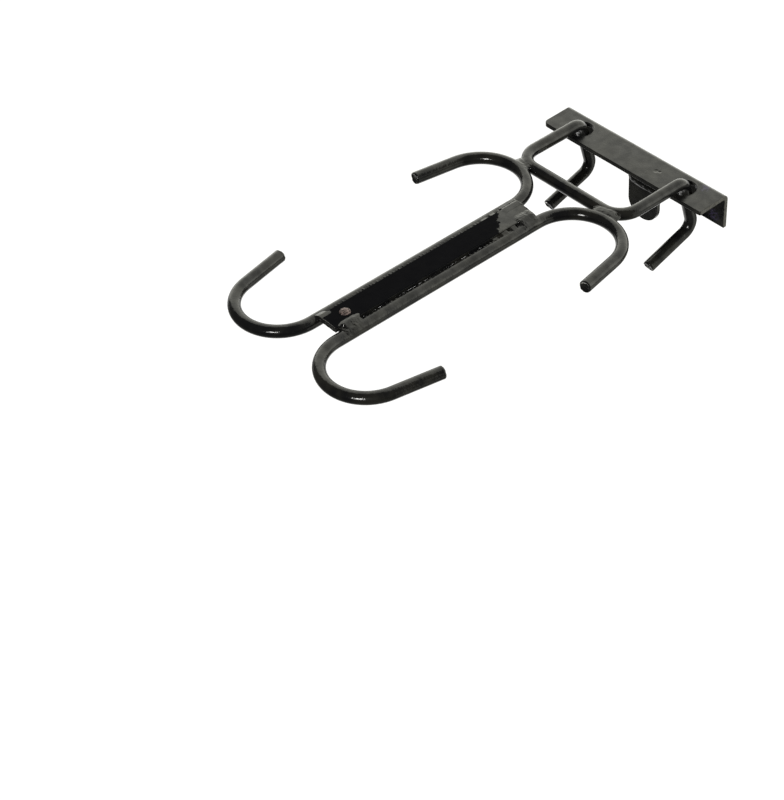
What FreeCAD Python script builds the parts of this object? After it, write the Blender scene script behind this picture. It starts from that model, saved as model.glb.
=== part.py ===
"""Fold-up boot rack: a wall bracket and a welded rod frame that turns in it.

Frame of the part, in millimetres: X runs along the wall, Y points into the
wall and Z up. The origin lies on the bracket's wall face, midway between its
two screw holes.

The rod frame is drawn in a frame of its own. There the rods' centres lie in
the plane z = 0, y = 0 is straight above the hinge axis, and -y points away
from the wall. HINGE_SEAT carries that frame to its place on the bracket.
"""
import FreeCAD, Part
import math
import os
import Sketcher

# Driving dimensions: alias, value, what it is. Lengths in mm, angles in degrees,
# shares without a unit.
DIMENSIONS = [
    ("bracket_length", 136.0, "folded bracket, along the wall"),
    ("flange_depth", 25.4, "top flange, from the wall to its front edge"),
    ("flange_drop", 25.0, "wall flange, from the top face to its lower edge"),
    ("plate", 3.0, "thickness of the bracket and its tab"),
    ("fold_r", 1.0, "inside radius of the bracket's fold"),
    ("corner_left", 3.5, "rounded front corner of the top flange, left"),
    ("corner_right", 1.2, "rounded front corner of the top flange, right"),
    ("plate_edge", 0.4, "rounding of the flanges' long free edges"),
    ("hole_d", 16.0, "hinge holes in the top flange"),
    ("hole_inset", 14.0, "hinge holes, from the wall to their centres"),
    ("hinge_span", 89.0, "between the hinge holes, and between the frame's arms"),
    ("screw_d", 5.0, "wall screw holes"),
    ("screw_spacing", 60.0, "between the wall flange's two screw holes"),
    ("screw_drop", 14.0, "wall flange's screw holes, below the top face"),
    ("tab_width", 25.0, "fixing tab"),
    ("tab_length", 29.2, "fixing tab, from its top edge to its round end"),
    ("tab_root", 0.5, "weld gap between the wall flange and the tab"),
    ("rod_d", 8.0, "round bar of the frame"),
    ("tip_chamfer", 0.5, "bevel of the bars' cut ends"),
    ("rise", 1.5, "slope of the frame at rest, up and away from the wall"),
    ("turn_gap", 0.4, "free play of the bars around the flange's front strip"),
    ("stop_gap", 0.3, "legs to the wall flange's lower edge, at rest"),
    ("arm_reach", 46.9, "hinge axis to the cross bar's centre"),
    ("corner_r", 14.5, "bend between an arm and the cross bar"),
    ("bend_r", 8.0, "bend of a bar over the flange's front strip"),
    ("leg_lean", 16.0, "legs, from square to the frame's plane"),
    ("leg_run", 26.8, "straight stretch of a leg"),
    ("knee_r", 8.0, "bend between a leg and its tail"),
    ("tail_slope", 17.0, "tails, below the frame's plane"),
    ("tail_run", 32.0, "straight stretch of a tail"),
    ("rail_spacing", 22.6, "between the hook rods' straight rails"),
    ("rail_run", 158.0, "straight rail of a hook rod"),
    ("front_r", 27.6, "centre radius of the front hook"),
    ("front_turn", 168.3, "turn of the front hook"),
    ("front_tip", 31.4, "straight tip of the front hook"),
    ("rear_r", 29.3, "centre radius of the rear hook"),
    ("rear_turn", 170.2, "turn of the rear hook"),
    ("rear_tip", 28.3, "straight tip of the rear hook"),
    ("weld_root", 0.2, "weld gap between parts of the frame"),
    ("strip_seat", 3.3, "strip's long edges, inside the rails' centres"),
    ("strip_thick", 3.0, "centre strip"),
    ("strip_length", 155.5, "centre strip"),
    ("strip_skew", 6.5, "rear end of the strip, cut off square by"),
    ("strip_edge", 0.5, "rounding of the strip's long edges"),
    ("rivet_inset", 13.5, "rivet, from the strip's front end"),
    ("rivet_hole_d", 4.2, "rivet's hole in the strip"),
    ("rivet_play", 0.1, "rivet's shank in its hole, on the radius"),
    ("rivet_head_d", 6.8, "rivet's domed head"),
    ("rivet_head_rise", 1.4, "rivet's domed head"),
    ("rivet_tail_d", 5.8, "rivet's upset tail"),
    ("rivet_tail_drop", 1.2, "rivet's upset tail"),
    ("strip_weld_length", 14.0, "weld at each corner of the strip"),
    ("strip_weld_width", 6.0, "weld at each corner of the strip"),
    ("strip_weld_inset", 4.7, "middle of that weld, from the strip's end"),
    ("strip_weld_out", 0.75, "middle of that weld, outside the strip's edge"),
    ("strip_weld_sink", 0.65, "root of that weld, below the strip's top, in thicknesses"),
    ("strip_weld_rise", 1.0, "height of that weld from its root, in strip thicknesses"),
    ("hook_weld_length", 23.0, "weld between a rear hook and the bent bar"),
    ("hook_weld_width", 8.4, "weld between a rear hook and the bent bar"),
    ("hook_weld_lift", 0.55, "root of that weld, above the bars' centres, in bar radii"),
    ("hook_weld_rise", 0.53, "height of that weld from its root, in bar radii"),
    ("tab_weld_length", 26.0, "weld between the wall flange and the tab"),
    ("tab_weld_width", 7.6, "weld between the wall flange and the tab"),
    ("tab_weld_drop", 1.9, "middle of that weld, below the wall flange"),
    ("tab_weld_rise", 1.9, "how far that weld stands out"),
]

# Sizes that follow from the driving dimensions, so that what fits stays fitted.
FITS = [
    ("rod_r", "dims.rod_d / 2"),
    ("half_span", "dims.hinge_span / 2"),
    # top face and lower edge of the bracket, from the screw holes
    ("top_z", "dims.screw_drop"),
    ("foot_z", "top_z - dims.flange_drop"),
    # the hinge axis: middle of the strip of flange in front of the hinge holes
    ("land", "dims.flange_depth - dims.hole_inset - dims.hole_d / 2"),
    ("hinge_y", "land / 2 - dims.flange_depth"),
    ("hinge_z", "top_z - dims.plate / 2"),
    ("arm_lift", "rod_r + sqrt(pow(land; 2) + pow(dims.plate; 2)) / 2 + dims.turn_gap"),
    # the legs stop on the lower front edge of the wall flange
    ("leg_tilt", "dims.leg_lean - dims.rise"),
    ("edge_y", "-dims.plate - hinge_y"),
    ("edge_z", "foot_z - hinge_z"),
    ("leg_offset", "edge_y * cos(leg_tilt) + edge_z * sin(leg_tilt) - rod_r - dims.stop_gap"),
    ("bend_y", "(leg_offset - arm_lift * sin(dims.leg_lean)) / cos(dims.leg_lean)"),
    ("bend_turn", "90 - dims.leg_lean"),
    ("knee_turn", "90 + dims.leg_lean - dims.tail_slope"),
    ("mid_arm", "dims.arm_reach / 2"),
    ("rear_arm_run", "mid_arm + bend_y - dims.bend_r * tan(bend_turn / 2)"),
    ("front_arm_run", "mid_arm - dims.corner_r"),
    ("cross_run", "dims.hinge_span - 2 * dims.corner_r"),
    # the rear hooks touch the bent bar's corners, but for the weld gap
    ("rail_x", "dims.rail_spacing / 2"),
    ("arc_gap", "dims.rear_r + dims.corner_r + dims.rod_d + dims.weld_root"),
    ("arc_dx", "max(0; rail_x + dims.rear_r - half_span + dims.corner_r)"),
    ("arc_dy", "sqrt(pow(arc_gap; 2) - pow(arc_dx; 2))"),
    ("rail_y", "dims.corner_r - dims.arm_reach - arc_dy"),
    ("mid_rail_y", "rail_y - dims.rail_run / 2"),
    ("half_rail", "dims.rail_run / 2"),
    # the strip lies in the groove between the rails
    ("strip_width", "dims.rail_spacing - 2 * dims.strip_seat"),
    ("strip_z", "sqrt(pow(rod_r + dims.weld_root; 2) - pow(dims.strip_seat; 2))"),
    ("strip_top", "strip_z + dims.strip_thick"),
    ("strip_front_y", "rail_y - dims.strip_length"),
    ("strip_skew_y", "strip_width * tan(dims.strip_skew) / 2"),
    ("rivet_y", "strip_front_y + dims.rivet_inset"),
    # where the weld between a rear hook and a corner lies
    ("joint_share", "(dims.rear_r + (dims.rod_d + dims.weld_root) / 2) / arc_gap"),
    ("joint_x", "rail_x + dims.rear_r - joint_share * arc_dx"),
    ("joint_y", "rail_y + joint_share * arc_dy"),
    ("joint_angle", "asin(arc_dx / arc_gap)"),
    # the tab hangs below the wall flange
    ("tab_top", "foot_z - dims.tab_root"),
    ("tab_screw_z", "tab_top - dims.tab_length + dims.tab_width / 2"),
]

HINGE_SEAT = ("placement(vector(0; fits.hinge_y + fits.arm_lift * sin(dims.rise);"
              " fits.hinge_z + fits.arm_lift * cos(dims.rise));"
              " rotation(vector(1; 0; 0); -dims.rise))")

# Turns an ellipsoid's own axes: z to the bead's length, y out of the joint.
BEAD_TURN = (" * placement(vector(0; 0; 0); rotation(vector(1; 0; 0); 90))"
             " * placement(vector(0; 0; 0); rotation(vector(0; 1; 0); 90))")

# Two places closer than this are the same place.
NEAR = 0.01
# A written file holds the same volume as its piece, to this share of it.
SAME_VOLUME = 0.01

doc = FreeCAD.newDocument("boot_rack")


def make_sheets():
    """The two spreadsheets: driving dimensions, and the sizes that follow."""
    dims = doc.addObject("Spreadsheet::Sheet", "dims")
    for row, (alias, value, meaning) in enumerate(DIMENSIONS, start=1):
        dims.set(f"A{row}", alias)
        dims.set(f"B{row}", str(value))
        dims.set(f"C{row}", meaning)
        dims.setAlias(f"B{row}", alias)
    doc.recompute()
    fits = doc.addObject("Spreadsheet::Sheet", "fits")
    for row, (alias, formula) in enumerate(FITS, start=1):
        fits.set(f"A{row}", alias)
        fits.setAlias(f"B{row}", alias)
        fits.set(f"B{row}", "=" + formula)
    doc.recompute()
    return fits


fits = make_sheets()


def size(expression):
    """The present value of an expression over the two sheets."""
    return float(fits.evalExpression(expression))


def new_body(label, placement=None):
    """An empty body; its Placement follows an expression if one is given."""
    body = doc.addObject("PartDesign::Body", label)
    body.Label = label
    if placement:
        body.setExpression("Placement", placement)
    return body


def new_sketch(body, name, plane, offset=None):
    """A sketch on an origin plane of its body, moved along the plane's normal."""
    sketch = body.newObject("Sketcher::SketchObject", name)
    support = next(item for item in body.Origin.OriginFeatures if item.Role == plane)
    sketch.AttachmentSupport = [(support, "")]
    sketch.MapMode = "FlatFace"
    if offset:
        sketch.setExpression("AttachmentOffset.Base.z", offset)
    return sketch


def constrain(sketch, kind, *where, bound=None):
    """One constraint; with `bound`, a dimension that follows an expression."""
    if bound is None:
        return sketch.addConstraint(Sketcher.Constraint(kind, *where))
    value = math.radians(size(bound)) if kind == "Angle" else size(bound)
    index = sketch.addConstraint(Sketcher.Constraint(kind, *where, value))
    sketch.setExpression(f"Constraints[{index}]", bound)
    return index


def place_point(sketch, item, point, x, y):
    """Ties a point of a sketch item to the sketch's origin, by two expressions."""
    for kind, axis, value in (("DistanceX", -2, x), ("DistanceY", -1, y)):
        if value == "0":
            constrain(sketch, "PointOnObject", item, point, axis)
        else:
            constrain(sketch, kind, -1, 1, item, point, bound=value)


def polar(start, angle, length):
    """The point at a distance from `start`, in a direction in degrees."""
    turn = math.radians(angle)
    return start[0] + length * math.cos(turn), start[1] + length * math.sin(turn)


def add_line(sketch, start, end):
    """A straight sketch line between two (x, y) pairs of numbers."""
    ends = [FreeCAD.Vector(x, y, 0) for x, y in (start, end)]
    return sketch.addGeometry(Part.LineSegment(*ends), False)


def add_arc(sketch, centre, radius, low, high):
    """A sketch arc, anticlockwise from angle `low` to `high` in degrees."""
    circle = Part.Circle(FreeCAD.Vector(*centre, 0), FreeCAD.Vector(0, 0, 1), radius)
    arc = Part.ArcOfCircle(circle, math.radians(low), math.radians(high))
    return sketch.addGeometry(arc, False)


def draw_outline(sketch, corners):
    """A closed polygon whose corners are pairs of expressions."""
    spots = [(size(x), size(y)) for x, y in corners]
    lines = [add_line(sketch, spots[i - 1], spots[i]) for i in range(len(spots))]
    for i, line in enumerate(lines):
        constrain(sketch, "Coincident", line, 2, lines[(i + 1) % len(lines)], 1)
        place_point(sketch, line, 2, *corners[i])


def draw_circle(sketch, x, y, diameter):
    """A circle whose centre and diameter are expressions."""
    centre = FreeCAD.Vector(size(x), size(y), 0)
    circle = Part.Circle(centre, FreeCAD.Vector(0, 0, 1), size(diameter) / 2)
    item = sketch.addGeometry(circle, False)
    constrain(sketch, "Diameter", item, bound=diameter)
    place_point(sketch, item, 3, x, y)


def draw_path(sketch, start, heading, steps):
    """A chain of straight runs and tangent bends, as a bar is bent.

    Each step is ("run", length) or ("bend", radius, turn, side), with side +1
    for a turn to the left. Lengths, turns and the heading are expressions.
    """
    spot = tuple(size(value) for value in start)
    angle, course = size(heading), f"({heading})"
    last = None
    for step in steps:
        if step[0] == "run":
            ahead = polar(spot, angle, size(step[1]))
            item, begin, finish = add_line(sketch, spot, ahead), 1, 2
            constrain(sketch, "Distance", item, bound=step[1])
            spot = ahead
        else:
            _, radius, turn, side = step
            centre = polar(spot, angle + side * 90, size(radius))
            ends = (angle - side * 90, angle - side * 90 + side * size(turn))
            item = add_arc(sketch, centre, size(radius), min(ends), max(ends))
            begin, finish = (1, 2) if side > 0 else (2, 1)
            constrain(sketch, "Radius", item, bound=radius)
            angle += side * size(turn)
            course += f" {'+' if side > 0 else '-'} ({turn})"
            spot = polar(centre, angle - side * 90, size(radius))
        if last is None:
            place_point(sketch, item, begin, *start)
        else:
            constrain(sketch, "Tangent", last[0], last[1], item, begin)
        if step[0] == "run":
            constrain(sketch, "Angle", item, bound=course)
        last = (item, finish)


def add_bar(body, name, profile, path):
    """Round bar: the profile sketch swept along the path sketch."""
    bar = body.newObject("PartDesign::AdditivePipe", name)
    bar.Profile = profile
    bar.Spine = path
    doc.recompute()
    return bar


def add_pad(body, sketch, length):
    """A plate of the given thickness, along the sketch's normal."""
    pad = body.newObject("PartDesign::Pad", sketch.Name + "_pad")
    pad.Profile = sketch
    pad.setExpression("Length", length)
    doc.recompute()
    return pad


def cut_holes(body, sketch, reverse):
    """Cuts a sketch right through its body and checks that metal was removed."""
    before = body.Shape.Volume
    pocket = body.newObject("PartDesign::Pocket", sketch.Name + "_cut")
    pocket.Profile = sketch
    pocket.Type = "ThroughAll"
    pocket.Reversed = reverse
    doc.recompute()
    assert body.Shape.Volume < before, f"{sketch.Name} cuts nothing"
    return pocket


def round_edges(body, name, radius, chosen, kind="PartDesign::Fillet"):
    """Rounds (or bevels) the edges of a body for which `chosen` holds."""
    base = body.Tip
    edges = [f"Edge{i}" for i, edge in enumerate(base.Shape.Edges, start=1) if chosen(edge)]
    assert edges, f"{name} finds no edge"
    feature = body.newObject(kind, name)
    feature.Base = (base, edges)
    feature.setExpression("Radius" if kind.endswith("Fillet") else "Size", radius)
    doc.recompute()
    return feature


def lies_along(edge, axis):
    """True for a straight edge along coordinate 0, 1 or 2."""
    if edge.Curve.TypeId != "Part::GeomLine":
        return False
    return abs(edge.Curve.Direction[axis]) > 0.9999


def bevel_tips(body):
    """Bevels the round edges of a bar's flat cut ends."""
    flats = [face for face in body.Tip.Shape.Faces if face.Surface.TypeId == "Part::GeomPlane"]
    ends = [edge for face in flats for edge in face.Edges]
    round_edges(body, body.Name + "_tips", "dims.tip_chamfer",
                lambda edge: any(edge.isSame(end) for end in ends), "PartDesign::Chamfer")


def make_wall_bracket():
    """Folded angle with two hinge holes on top and two screw holes at the wall."""
    body = new_body("wall_bracket")
    section = new_sketch(body, "bracket_section", "YZ_Plane")
    draw_outline(section, [
        ("0", "fits.top_z"),
        ("0", "fits.foot_z"),
        ("-dims.plate", "fits.foot_z"),
        ("-dims.plate", "fits.top_z - dims.plate"),
        ("-dims.flange_depth", "fits.top_z - dims.plate"),
        ("-dims.flange_depth", "fits.top_z"),
    ])
    pad = add_pad(body, section, "dims.bracket_length")
    pad.Midplane = True
    doc.recompute()

    front, plate = -size("dims.flange_depth"), size("dims.plate")
    top, foot = size("fits.top_z"), size("fits.foot_z")
    half = size("dims.bracket_length / 2")

    def along_x(y, z):
        return lambda edge: (lies_along(edge, 0) and abs(edge.CenterOfMass.y - y) < NEAR
                             and abs(edge.CenterOfMass.z - z) < NEAR)

    def front_corner(x):
        return lambda edge: (lies_along(edge, 2) and abs(edge.CenterOfMass.y - front) < NEAR
                             and abs(edge.CenterOfMass.x - x) < NEAR)

    round_edges(body, "fold_outside", "dims.fold_r + dims.plate", along_x(0, top))
    round_edges(body, "fold_inside", "dims.fold_r", along_x(-plate, top - plate))
    round_edges(body, "left_corner", "dims.corner_left", front_corner(-half))
    round_edges(body, "right_corner", "dims.corner_right", front_corner(half))
    round_edges(body, "free_edges", "dims.plate_edge",
                lambda edge: any(along_x(y, z)(edge) for y, z in
                                 ((front, top), (front, top - plate), (-plate, foot))))

    hinges = new_sketch(body, "hinge_holes", "XY_Plane", "fits.top_z")
    for side in ("-", ""):
        draw_circle(hinges, side + "fits.half_span", "-dims.hole_inset", "dims.hole_d")
    cut_holes(body, hinges, reverse=False)

    screws = new_sketch(body, "screw_holes", "XZ_Plane")
    for side in ("-", ""):
        draw_circle(screws, side + "dims.screw_spacing / 2", "0", "dims.screw_d")
    cut_holes(body, screws, reverse=True)
    return body


def make_fixing_tab():
    """Flat tab with a round end and one screw hole, below the wall flange."""
    body = new_body("fixing_tab")
    sketch = new_sketch(body, "tab_outline", "XZ_Plane")
    half, top, low = size("dims.tab_width / 2"), size("fits.tab_top"), size("fits.tab_screw_z")
    left = add_line(sketch, (-half, top), (-half, low))
    end = add_arc(sketch, (0, low), half, 180, 360)
    right = add_line(sketch, (half, low), (half, top))
    upper = add_line(sketch, (half, top), (-half, top))
    constrain(sketch, "Tangent", left, 2, end, 1)
    constrain(sketch, "Tangent", end, 2, right, 1)
    constrain(sketch, "Coincident", right, 2, upper, 1)
    constrain(sketch, "Coincident", upper, 2, left, 1)
    constrain(sketch, "Vertical", left)
    constrain(sketch, "Vertical", right)
    constrain(sketch, "Horizontal", upper)
    constrain(sketch, "Radius", end, bound="dims.tab_width / 2")
    place_point(sketch, end, 3, "0", "fits.tab_screw_z")
    constrain(sketch, "DistanceY", -1, 1, left, 1, bound="fits.tab_top")
    add_pad(body, sketch, "dims.plate")

    screw = new_sketch(body, "tab_screw_hole", "XZ_Plane")
    draw_circle(screw, "0", "fits.tab_screw_z", "dims.screw_d")
    cut_holes(body, screw, reverse=True)
    return body


def make_hinge_rod():
    """The bent bar: tail, leg, arm, cross bar, arm, leg and tail in one length."""
    body = new_body("hinge_rod", HINGE_SEAT)
    yoke_end = new_sketch(body, "yoke_section", "XZ_Plane", "fits.mid_arm")
    draw_circle(yoke_end, "-fits.half_span", "0", "dims.rod_d")
    yoke = new_sketch(body, "yoke_path", "XY_Plane")
    draw_path(yoke, ("-fits.half_span", "-fits.mid_arm"), "-90", [
        ("run", "fits.front_arm_run"),
        ("bend", "dims.corner_r", "90", +1),
        ("run", "fits.cross_run"),
        ("bend", "dims.corner_r", "90", +1),
        ("run", "fits.front_arm_run"),
    ])
    add_bar(body, "yoke", yoke_end, yoke)

    for side, sign in (("left", "-"), ("right", "")):
        leg_end = new_sketch(body, f"{side}_leg_section", "XZ_Plane", "fits.mid_arm")
        draw_circle(leg_end, sign + "fits.half_span", "0", "dims.rod_d")
        leg = new_sketch(body, f"{side}_leg_path", "YZ_Plane", sign + "fits.half_span")
        draw_path(leg, ("-fits.mid_arm", "0"), "0", [
            ("run", "fits.rear_arm_run"),
            ("bend", "dims.bend_r", "fits.bend_turn", -1),
            ("run", "dims.leg_run"),
            ("bend", "dims.knee_r", "fits.knee_turn", -1),
            ("run", "dims.tail_run"),
        ])
        add_bar(body, f"{side}_leg", leg_end, leg)
    bevel_tips(body)
    return body


def make_hook_rod(side):
    """One bar bent into a hook at each end of a straight rail; side is -1 or 1."""
    name = "hook_rod_right" if side > 0 else "hook_rod_left"
    sign = "" if side > 0 else "-"
    body = new_body(name, HINGE_SEAT)
    halves = (
        ("front", "-90", ("bend", "dims.front_r", "dims.front_turn", side), "dims.front_tip"),
        ("rear", "90", ("bend", "dims.rear_r", "dims.rear_turn", -side), "dims.rear_tip"),
    )
    for end, heading, bend, tip in halves:
        section = new_sketch(body, f"{name}_{end}_section", "XZ_Plane", "-fits.mid_rail_y")
        draw_circle(section, sign + "fits.rail_x", "0", "dims.rod_d")
        path = new_sketch(body, f"{name}_{end}_path", "XY_Plane")
        draw_path(path, (sign + "fits.rail_x", "fits.mid_rail_y"), heading,
                  [("run", "fits.half_rail"), bend, ("run", tip)])
        add_bar(body, f"{name}_{end}", section, path)
    bevel_tips(body)
    return body


def make_centre_strip():
    """Flat bar in the groove between the rails, its rear end cut off square."""
    body = new_body("centre_strip", HINGE_SEAT)
    outline = new_sketch(body, "strip_outline", "XY_Plane", "fits.strip_z")
    draw_outline(outline, [
        ("-fits.strip_width / 2", "fits.strip_front_y"),
        ("fits.strip_width / 2", "fits.strip_front_y"),
        ("fits.strip_width / 2", "fits.rail_y - fits.strip_skew_y"),
        ("-fits.strip_width / 2", "fits.rail_y + fits.strip_skew_y"),
    ])
    add_pad(body, outline, "dims.strip_thick")
    round_edges(body, "strip_edges", "dims.strip_edge", lambda edge: lies_along(edge, 1))
    hole = new_sketch(body, "rivet_hole", "XY_Plane", "fits.strip_top")
    draw_circle(hole, "0", "fits.rivet_y", "dims.rivet_hole_d")
    cut_holes(body, hole, reverse=False)
    return body


def make_strip_rivet():
    """Domed rivet through the strip's front end, drawn about its own axis."""
    body = new_body("strip_rivet", HINGE_SEAT + " * placement(vector(0; fits.rivet_y;"
                    " fits.strip_top); rotation(vector(0; 0; 1); 0))")
    sketch = new_sketch(body, "rivet_profile", "XZ_Plane")
    shank = "dims.rivet_hole_d / 2 - dims.rivet_play"
    foot = "-dims.strip_thick - dims.rivet_tail_drop"
    corners = [
        ("dims.rivet_head_d / 2", "0"),
        (shank, "0"),
        (shank, "-dims.strip_thick"),
        ("dims.rivet_tail_d / 2", "-dims.strip_thick"),
        ("dims.rivet_tail_d / 2", foot),
        ("0", foot),
        ("0", "dims.rivet_head_rise"),
    ]
    spots = [(size(x), size(y)) for x, y in corners]
    lines = [add_line(sketch, start, end) for start, end in zip(spots, spots[1:])]
    for line, following in zip(lines, lines[1:]):
        constrain(sketch, "Coincident", line, 2, following, 1)
    for line, corner in zip(lines, corners):
        place_point(sketch, line, 1, *corner)
    place_point(sketch, lines[-1], 2, *corners[-1])
    reach, rise = spots[0][0], spots[-1][1]
    dome_r = (reach ** 2 + rise ** 2) / (2 * rise)
    edge_angle = math.degrees(math.acos(reach / dome_r))
    dome = add_arc(sketch, (0, rise - dome_r), dome_r, edge_angle, 90)
    constrain(sketch, "Coincident", dome, 1, lines[0], 1)
    constrain(sketch, "Coincident", dome, 2, lines[-1], 2)
    constrain(sketch, "PointOnObject", dome, 3, -2)
    turned = body.newObject("PartDesign::Revolution", "rivet_turned")
    turned.Profile = sketch
    turned.ReferenceAxis = (sketch, ["V_Axis"])
    turned.Angle = 360
    doc.recompute()
    return body


def make_weld(label, placement, half_sizes, neighbours):
    """A bead of weld: half an ellipsoid less the pieces that it joins.

    The placement has x along the bead and z out of it. `half_sizes` are
    expressions for half its length, half its width and its height.
    """
    bead = doc.addObject("Part::Ellipsoid", label + "_bead")
    bead.Angle1, bead.Angle2, bead.Angle3 = -90, 90, 180
    for radius, half in zip(("Radius1", "Radius2", "Radius3"), half_sizes):
        bead.setExpression(radius, half)
    # its poles are the bead's two ends, and its flat side lies inside the joint
    bead.setExpression("Placement", placement + BEAD_TURN)
    for piece in neighbours:
        cut = doc.addObject("Part::Cut", f"{label}_less_{piece.Name}")
        cut.Base = bead
        cut.Tool = piece
        bead = cut
    bead.Label = label
    doc.recompute()
    return bead


def frame_spot(x, y, z, angle="0"):
    """Placement of a thing at a point of the rod frame, turned in its plane."""
    return f"{HINGE_SEAT} * placement(vector({x}; {y}; {z}); rotation(vector(0; 0; 1); {angle}))"


def make_welds(bracket, tab, rod, hooks, strip):
    """All the beads: one at the tab, two at the rear hooks, four at the strip."""
    welds = [make_weld(
        "tab_weld",
        "placement(vector(0; -dims.plate; fits.foot_z - dims.tab_weld_drop);"
        " rotation(vector(1; 0; 0); 90))",
        ("dims.tab_weld_length / 2", "dims.tab_weld_width / 2", "dims.tab_weld_rise"),
        (bracket, tab))]
    strip_ends = (("rear", "fits.rail_y - dims.strip_weld_inset"),
                  ("front", "fits.strip_front_y + dims.strip_weld_inset"))
    for side, sign, hook in (("left", "-", hooks[0]), ("right", "", hooks[1])):
        welds.append(make_weld(
            f"hook_weld_{side}",
            frame_spot(sign + "fits.joint_x", "fits.joint_y",
                       "fits.rod_r * dims.hook_weld_lift", sign + "fits.joint_angle"),
            ("dims.hook_weld_length / 2", "dims.hook_weld_width / 2",
             "fits.rod_r * dims.hook_weld_rise"),
            (rod, hook)))
        for end, y in strip_ends:
            welds.append(make_weld(
                f"strip_weld_{end}_{side}",
                frame_spot(f"{sign}(fits.strip_width / 2 + dims.strip_weld_out)", y,
                           "fits.strip_top - dims.strip_thick * dims.strip_weld_sink", "90"),
                ("dims.strip_weld_length / 2", "dims.strip_weld_width / 2",
                 "dims.strip_thick * dims.strip_weld_rise"),
                (hook, strip)))
    return welds


def check_and_write(pieces):
    """Stops on any failed object, then writes one STEP file for each piece."""
    doc.recompute()
    for item in doc.Objects:
        faults = {"Invalid", "Error"} & set(item.State)
        assert not faults, f"{item.Label}: {item.State}"
        if item.TypeId == "Sketcher::SketchObject":
            assert item.solve() == 0 and item.FullyConstrained, f"{item.Label} isn't solved"
    for piece in pieces:
        shape = piece.Shape
        assert not shape.isNull() and shape.isValid(), f"{piece.Label}: bad shape"
        assert len(shape.Solids) == 1, f"{piece.Label}: {len(shape.Solids)} solids"
    os.makedirs("parts", exist_ok=True)
    for piece in pieces:
        path = f"parts/{piece.Label}.step"
        piece.Shape.exportStep(path)
        written = Part.Shape()
        written.read(path)
        lost = abs(written.Volume - piece.Shape.Volume)
        assert lost < SAME_VOLUME * piece.Shape.Volume, f"{piece.Label}: the file differs by {lost}"
        print(f"{piece.Label}: {piece.Shape.Volume:.1f} mm3")


bracket = make_wall_bracket()
tab = make_fixing_tab()
rod = make_hinge_rod()
hooks = [make_hook_rod(-1), make_hook_rod(1)]
strip = make_centre_strip()
rivet = make_strip_rivet()
welds = make_welds(bracket, tab, rod, hooks, strip)
check_and_write([bracket, tab, rod, *hooks, strip, rivet, *welds])
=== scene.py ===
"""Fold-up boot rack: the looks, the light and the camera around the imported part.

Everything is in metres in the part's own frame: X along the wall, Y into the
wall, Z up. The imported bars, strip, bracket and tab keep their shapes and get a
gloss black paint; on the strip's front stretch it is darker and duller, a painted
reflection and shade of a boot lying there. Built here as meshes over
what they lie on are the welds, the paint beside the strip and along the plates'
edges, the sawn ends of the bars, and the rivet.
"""
import math
import random

import bpy
import numpy as np
from mathutils import Matrix, Vector, noise
from mathutils.bvhtree import BVHTree


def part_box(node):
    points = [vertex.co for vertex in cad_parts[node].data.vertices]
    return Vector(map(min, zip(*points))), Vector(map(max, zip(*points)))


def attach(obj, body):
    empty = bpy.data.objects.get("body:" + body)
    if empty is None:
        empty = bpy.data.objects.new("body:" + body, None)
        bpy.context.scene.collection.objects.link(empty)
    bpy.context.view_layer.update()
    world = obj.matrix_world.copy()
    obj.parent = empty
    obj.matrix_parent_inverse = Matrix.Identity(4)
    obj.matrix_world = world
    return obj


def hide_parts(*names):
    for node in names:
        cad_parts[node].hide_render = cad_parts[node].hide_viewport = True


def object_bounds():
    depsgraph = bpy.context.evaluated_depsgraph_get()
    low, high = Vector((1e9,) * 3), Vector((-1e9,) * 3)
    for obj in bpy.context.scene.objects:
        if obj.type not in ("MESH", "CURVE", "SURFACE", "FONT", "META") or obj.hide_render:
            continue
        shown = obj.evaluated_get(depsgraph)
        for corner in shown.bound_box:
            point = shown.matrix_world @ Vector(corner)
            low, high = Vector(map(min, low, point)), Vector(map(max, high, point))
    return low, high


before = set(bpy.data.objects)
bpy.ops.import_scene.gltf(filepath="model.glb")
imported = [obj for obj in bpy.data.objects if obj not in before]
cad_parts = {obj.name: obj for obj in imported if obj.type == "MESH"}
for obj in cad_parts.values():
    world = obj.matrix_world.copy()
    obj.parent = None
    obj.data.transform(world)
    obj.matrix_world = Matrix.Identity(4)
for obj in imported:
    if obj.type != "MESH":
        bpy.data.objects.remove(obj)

MM = 0.001
CAD_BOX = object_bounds()

# The rod frame's own directions at rest: it rises a little away from the wall.
RISE = math.radians(1.5)
ACROSS = Vector((1, 0, 0))
TO_WALL = Vector((0, math.cos(RISE), -math.sin(RISE)))
UP = Vector((0, math.sin(RISE), math.cos(RISE)))

BARS = ("hinge_rod", "hook_rod_left", "hook_rod_right")
BAR_TOP = 4.0 * MM          # crowns of the bars, above the plane of their centres
STRIP_TOP = 5.6 * MM        # top of the centre strip, above the same plane
EDGE = 8.0 * MM             # the strip's long edges, from the middle of the rack

X, Y, Z = range(3)

# Seeds of the noise and of the random draws. The two hook welds, the four strip
# welds and the two rows of drops count on from theirs.
HOOK_WELD_SEED = 3
STRIP_WELD_SEED = 11
TAB_WELD_SEED = 21
DROPS_SEED = 31
GROOVE_SEED = 32
FILLED_SEED = 33
RIVET_SEED = 41
BURR_SEED = 51
BARE_SEED = 61
EDGE_SEED = 71


def smooth_step(low, high, value):
    """0 below low, 1 above high, smooth between them; also for low > high."""
    share = min(max((value - low) / (high - low), 0), 1)
    return share * share * (3 - 2 * share)


def smooth_max(first, second, blend):
    """The larger of two heights, with a fillet of about `blend` where they meet."""
    near = max(blend - abs(first - second), 0) / blend
    return max(first, second) + near * near * blend / 4


def metres(value):
    """A length in millimetres, or a nest of tuples of them, in metres."""
    return tuple(metres(item) for item in value) if isinstance(value, tuple) else value * MM


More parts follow.
